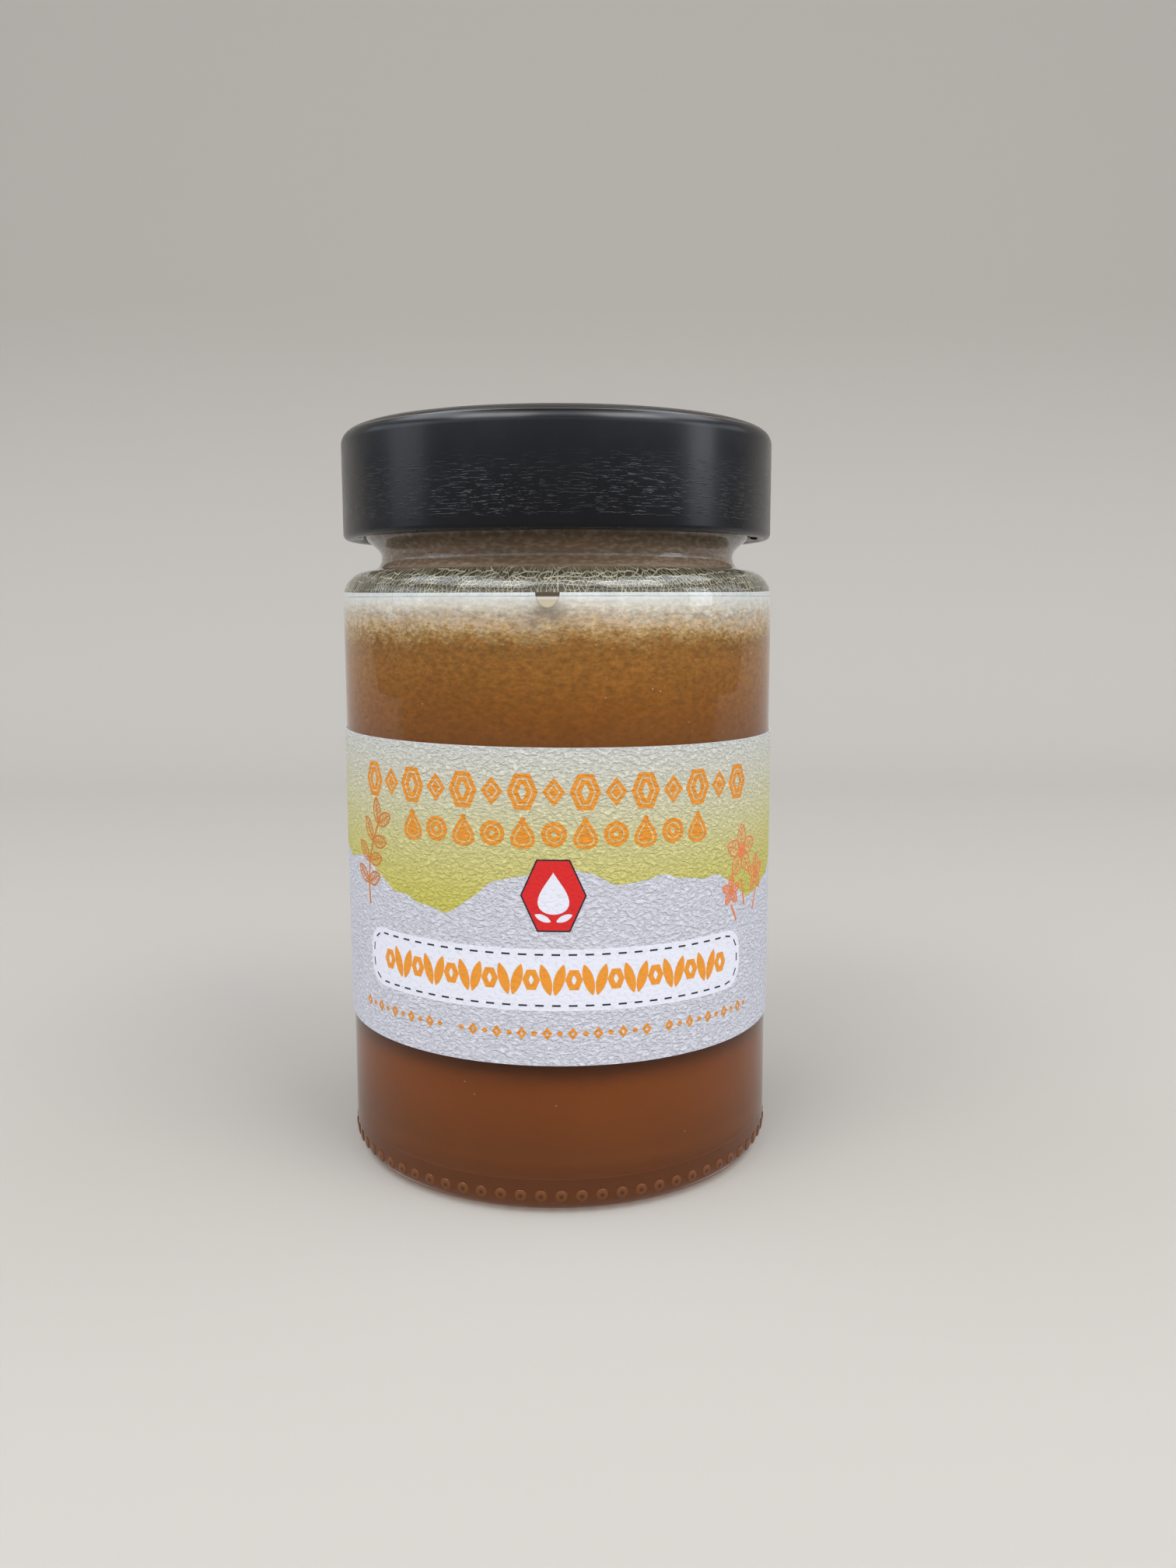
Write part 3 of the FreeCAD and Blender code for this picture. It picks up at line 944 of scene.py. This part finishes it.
def makePaper():
    s = label
    bm = bmesh.new()
    bmesh.ops.create_grid(bm, x_segments=s["segments"], y_segments=s["rows"], size=0.5)
    bmesh.ops.scale(bm, verts=bm.verts, vec=(2 * halfWrap, s["height"], 1))
    bmesh.ops.translate(bm, verts=bm.verts, vec=(0, s["height"] / 2, 0))
    thicken(bm, -s["paper"], 0)
    bendRound(bm, cutStep=1000)
    addPiece(bm, "labelPaper", paperLook(), ["label"], sharpAngle=60)


sky = {
    "lift": 0.012, "across": 560, "up": 10,
    "middle": 26.3, "waves": [(57.0, 2.7, 0.9), (29.0, 1.5, 2.6), (12.6, 0.55, 0.4), (5.1, 0.16, 1.0)],
    "stops": [(20.0, (201, 191, 86)), (25.0, (206, 197, 104)), (31.5, (211, 203, 138)),
              (37.5, (213, 207, 170)), (43.0, (212, 209, 193)), (46.7, (211, 210, 204))],
}


def ridge(u):
    # the top of the bare hills: a few waves of length, height and start laid over each other
    waves = sum(rise * math.sin(2 * math.pi * u / long + start) for long, rise, start in sky["waves"])
    return sky["middle"] + waves + 0.2 * noise.noise(Vector((u * 0.5, 3.1, 0)))


def skyLook():
    material, tree, shader = newMaterial("skyInk", {"Roughness": 0.8, "Specular IOR Level": 0.15})
    pits = feltRelief(tree, shader)
    flat = addNode(tree, "UVMap", uv_map="flatLabel").outputs[0]
    height = addNode(tree, "SeparateXYZ", {0: flat}).outputs[1]
    share = maths(tree, "DIVIDE", height, label["height"] * mm)
    clean = colourRamp(tree, share, [(v / label["height"], rgb) for v, rgb in sky["stops"]])
    # painted shade: the ink is darker in the pits of the felt marks
    shade = ranged(tree, pits, 0.0, 0.45, 0.88, 1.0)
    paint(tree, shader, scaledShade(tree, clean, shade))
    return material


def makeSky():
    s = sky
    bm = bmesh.new()
    bmesh.ops.create_grid(bm, x_segments=s["across"], y_segments=s["up"], size=0.5)
    for vert in bm.verts:
        u = vert.co.x * 2 * halfWrap
        low = ridge(u)
        vert.co = Vector((u, low + (vert.co.y + 0.5) * (label["height"] - low), 0))
    thicken(bm, 0.002, s["lift"])
    bendRound(bm, cutStep=1000)
    addPiece(bm, "labelSky", skyLook(), sharpAngle=60)


makePaper()
makeSky()


inks = {  # colour, share of the paper's relief and roughness
    "orangeInk": ((222, 142, 46), 0.5, 0.7), "footInk": ((222, 142, 46), 0.5, 0.7),
    "panelOrangeInk": ((222, 142, 46), 0.08, 0.55), "panelInk": ((218, 218, 227), 0.08, 0.5),
    "blackInk": ((38, 36, 44), 0.08, 0.5), "rimInk": ((38, 36, 44), 0.1, 0.5),
    "redInk": ((205, 36, 36), 0.1, 0.5), "whiteInk": ((218, 218, 227), 0.1, 0.5),
    "ochreInk": ((199, 122, 48), 0.3, 0.7), "coralInk": ((222, 128, 78), 0.3, 0.7),
}
upperRow = {"from": -34.5, "to": 33.0, "middle": 40.4, "height": 4.9, "stroke": 1.5, "inline": 0.2}
lowerRow = {"from": -25.5, "to": 24.0, "middle": 34.5, "height": 4.7, "stroke": 1.45, "inline": 0.2}
panelRow = {"from": -30.6, "to": 28.4, "middle": 12.95, "height": 4.7}
footRow = {"from": -36.6, "to": 34.6, "middle": 4.9, "height": 1.9, "stroke": 0.38}
panel = {"from": -34.4, "to": 32.0, "low": 8.3, "high": 17.5, "corner": 3.4,
         "inset": 0.8, "dash": 1.25, "pitch": 2.45, "dashWidth": 0.26}
badge = {"u": -0.9, "v": 25.4, "width": 9.6, "height": 10.6, "rim": 0.22}


def flatShape(bm, u, v, width, height, sides, turn=0.0):
    # a filled shape of that many sides, drawn out to a width and a height
    verts = bmesh.ops.create_circle(bm, cap_ends=True, segments=sides, radius=1.0)["verts"]
    turned(bm, verts, turn)
    ends = [(min(p.co[i] for p in verts), max(p.co[i] for p in verts)) for i in (0, 1)]
    (left, right), (low, high) = ends
    scale = (width / (right - left), height / (high - low), 1)
    bmesh.ops.scale(bm, verts=verts, vec=scale)
    middle = Vector(((left + right) / 2 * scale[0], (low + high) / 2 * scale[1], 0))
    bmesh.ops.translate(bm, verts=verts, vec=Vector((u, v, 0)) - middle)
    return verts[0].link_faces[0]


def strip(bm, start, end, width):
    start, end = Vector((*start, 0)), Vector((*end, 0))
    along = end - start
    verts = bmesh.ops.create_grid(bm, x_segments=1, y_segments=1, size=0.5)["verts"]
    bmesh.ops.scale(bm, verts=verts, vec=(along.length, width, 1))
    turned(bm, verts, math.degrees(math.atan2(along.y, along.x)))
    bmesh.ops.translate(bm, verts=verts, vec=(start + end) / 2)
    return verts[0].link_faces[0]


def insetBy(bm, face, thickness):
    return bmesh.ops.inset_individual(bm, faces=[face], thickness=thickness, use_even_offset=True)["faces"]


def inlined(bm, face, edge, line):
    # a solid shape with a bare line inside its edge
    insetBy(bm, face, edge)
    bmesh.ops.delete(bm, geom=insetBy(bm, face, line), context="FACES")


def stroked(bm, face, stroke, line=0.0):
    # only the outline of a shape, with a bare line along its middle
    if line:
        insetBy(bm, face, (stroke - line) / 2)
        bmesh.ops.delete(bm, geom=insetBy(bm, face, line), context="FACES")
        insetBy(bm, face, (stroke - line) / 2)
    else:
        insetBy(bm, face, stroke)
    bmesh.ops.delete(bm, geom=[face], context="FACES")


def addPrint(bm, name, inkName, low=0.006, high=0.030):
    thicken(bm, low, high)
    bendRound(bm)
    addPiece(bm, name, inkLook(inkName), sharpAngle=35)


def row(spec, count):
    # even middles along a row
    space = (spec["to"] - spec["from"]) / count
    return [spec["from"] + space * (i + 0.5) for i in range(count)]


def teardrop(bm, u, v, width, height):
    # a drop with its point up
    face = flatShape(bm, 0, 0, 2, 2, 32)
    for vert in face.verts:
        turn = math.atan2(vert.co.x, vert.co.y)
        vert.co.x = u + 0.735 * width * math.sin(turn) * abs(math.sin(turn / 2)) ** 1.5
        vert.co.y = v + height / 2 * math.cos(turn)
    return face


def lens(bm, u, v, length, width, turn):
    # a pointed oval, like a plain leaf
    face = flatShape(bm, 0, 0, 2, 2, 24)
    spin = Matrix.Rotation(math.radians(turn), 3, "Z")
    for vert in face.verts:
        flat = Vector((vert.co.x * length / 2, vert.co.y * width / 2 * (1 - 0.5 * abs(vert.co.x) ** 3), 0))
        vert.co = spin @ flat + Vector((u, v, 0))
    return face


def makeRows():
    # a band of honeycomb cells and lozenges over a band of drops and rings
    bm = bmesh.new()
    r = upperRow
    for i, u in enumerate(row(r, 15)):
        if i % 2:
            inlined(bm, flatShape(bm, u, r["middle"], 3.3, r["height"] * 0.86, 4), 0.52, r["inline"])
        else:
            cell = flatShape(bm, u, r["middle"], 4.5, r["height"] * 1.06, 6, 30)
            stroked(bm, cell, r["stroke"], r["inline"])
    r = lowerRow
    for i, u in enumerate(row(r, 11)):
        if i % 2:
            stroked(bm, flatShape(bm, u, r["middle"] - 0.2, 3.7, 3.7, 28), r["stroke"], r["inline"])
        else:
            inlined(bm, teardrop(bm, u, r["middle"], 3.5, r["height"]), 0.5, r["inline"])
    addPrint(bm, "labelOrnaments", "orangeInk")


def makePanel():
    s = panel
    bm = bmesh.new()
    middle = ((s["from"] + s["to"]) / 2, (s["low"] + s["high"]) / 2)
    size = (s["to"] - s["from"], s["high"] - s["low"])
    face = flatShape(bm, *middle, *size, 4, 45)
    bmesh.ops.bevel(
        bm, geom=face.verts[:], offset=s["corner"], segments=8, affect="VERTICES", profile=0.5, material=-1)
    addPrint(bm, "labelPanel", "panelInk", 0.004, 0.018)

    dashes = bmesh.new()
    low, high = s["low"] + s["inset"], s["high"] - s["inset"]
    left, right = s["from"] + s["inset"], s["to"] - s["inset"]
    bend = s["corner"] - s["inset"] / 2
    runs = [right - left - 2 * bend, math.pi * bend / 2, high - low - 2 * bend, math.pi * bend / 2] * 2
    corners = [(right - bend, low + bend, -90), (right - bend, high - bend, 0),
               (left + bend, high - bend, 90), (left + bend, low + bend, 180)]

    def edgeAt(gone):
        gone %= sum(runs)
        side = 0
        while gone > runs[side]:
            gone -= runs[side]
            side += 1
        u, v, start = corners[side // 2]
        if side % 2:
            angle = math.radians(start + gone / runs[side] * 90)
            return u + bend * math.cos(angle), v + bend * math.sin(angle)
        angle = math.radians(start)
        out = Vector((math.cos(angle), math.sin(angle))) * bend
        along = Vector((-math.sin(angle), math.cos(angle))) * (gone - runs[side])
        return u + out.x + along.x, v + out.y + along.y

    count = round(sum(runs) / s["pitch"])
    for i in range(count):
        start = i * sum(runs) / count
        strip(dashes, edgeAt(start), edgeAt(start + s["dash"]), s["dashWidth"])
    addPrint(dashes, "labelDashes", "blackInk", 0.012, 0.034)

    r = panelRow
    bm = bmesh.new()
    for i, u in enumerate(row(r, 19)):
        if i % 2:
            for side in (-1, 1):
                lens(bm, u + side * 0.98, r["middle"], r["height"] * 1.02, 1.55, 90 - side * 16)
        else:
            stroked(bm, flatShape(bm, u, r["middle"], 2.6, 3.0, 6, 30), 0.85)
    addPrint(bm, "labelPanelShapes", "panelOrangeInk", 0.012, 0.034)


def makeFootRow():
    # three short runs of small lozenges and dots
    r = footRow
    bm = bmesh.new()
    for i, u in enumerate(row(r, 38)):
        if i in (10, 27):
            continue
        if i % 2:
            flatShape(bm, u, r["middle"], 0.75, 0.75, 10)
        else:
            stroked(bm, flatShape(bm, u, r["middle"], 1.5, r["height"], 4), r["stroke"])
    addPrint(bm, "labelFootRow", "footInk")


def makeBadge():
    # a plain hexagon badge with a white drop
    s = badge
    rim = bmesh.new()
    stroked(rim, flatShape(rim, s["u"], s["v"], s["width"], s["height"], 6, 30), s["rim"])
    addPrint(rim, "badgeRim", "rimInk", 0.006, 0.036)
    red = bmesh.new()
    flatShape(red, s["u"], s["v"], s["width"] - 0.4, s["height"] - 0.44, 6, 30)
    addPrint(red, "badgeField", "redInk", 0.006, 0.026)
    white = bmesh.new()
    teardrop(white, s["u"], s["v"] + 0.35, 4.4, 6.2)
    for side in (-1, 1):  # two small leaves under it
        lens(white, s["u"] + side * 1.55, s["v"] - 3.3, 2.5, 0.95, side * 24)
    addPrint(white, "badgeDrop", "whiteInk", 0.02, 0.036)


def leaf(bm, u, v, length, width, turn, stroke, veins=4):
    # an outlined leaf with a middle rib and side veins, from its stalk at (u, v)
    face = flatShape(bm, length / 2, 0, length, width, 24)
    verts = list(face.verts)
    for vert in verts:
        share = abs(vert.co.x / length - 0.5) * 2
        vert.co.y *= 1 - 0.45 * share ** 3
    insetBy(bm, face, stroke)
    verts = list({p for v in verts for f in v.link_faces for p in f.verts})
    bmesh.ops.delete(bm, geom=[face], context="FACES_ONLY")
    made = [strip(bm, (0, 0), (length * 0.9, 0), stroke * 0.8)]
    for i in range(veins):
        along = length * (0.2 + 0.6 * i / veins)
        reach = width * 0.30 * math.sin(math.pi * (0.25 + 0.6 * i / veins))
        for side in (-1, 1):
            start, end = (along, side * stroke * 0.4), (along + reach * 0.9, side * reach)
            made.append(strip(bm, start, end, stroke * 0.6))
    verts += [p for f in made for p in f.verts]
    turned(bm, verts, turn)
    bmesh.ops.translate(bm, verts=verts, vec=(u, v, 0))


def makeSprig():
    bm = bmesh.new()
    stem = [(-34.6, 20.6), (-34.9, 24.0), (-34.4, 27.4), (-33.2, 30.6), (-31.6, 33.4)]
    for a, b in zip(stem, stem[1:]):
        strip(bm, a, b, 0.4)
    for (u, v), turns in zip(stem[1:], ((150, 25), (140, 15), (120, 5), (95, 30))):
        for turn in turns:
            leaf(bm, u, v, 4.3 if turn > 60 else 3.9, 2.2, turn, 0.29)
    addPrint(bm, "labelSprig", "ochreInk")


def makeBlossom():
    bm = bmesh.new()
    for u, v, size, petals in ((32.4, 29.4, 4.3, 5), (37.6, 25.2, 3.2, 5), (29.6, 23.6, 2.5, 5)):
        for i in range(petals):
            leaf(bm, u, v, size, size * 0.62, 90 + 360 / petals * i, 0.27, veins=3)
        flatShape(bm, u, v, size * 0.32, size * 0.32, 12)
    for a, b in (((32.4, 25.0), (33.4, 20.8)), ((37.6, 22.4), (36.4, 19.4)), ((29.6, 21.4), (31.0, 18.8))):
        strip(bm, a, b, 0.4)
    addPrint(bm, "labelBlossom", "coralInk")


makeRows()
makePanel()
makeFootRow()
makeBadge()
makeSprig()
makeBlossom()
print("label printed")
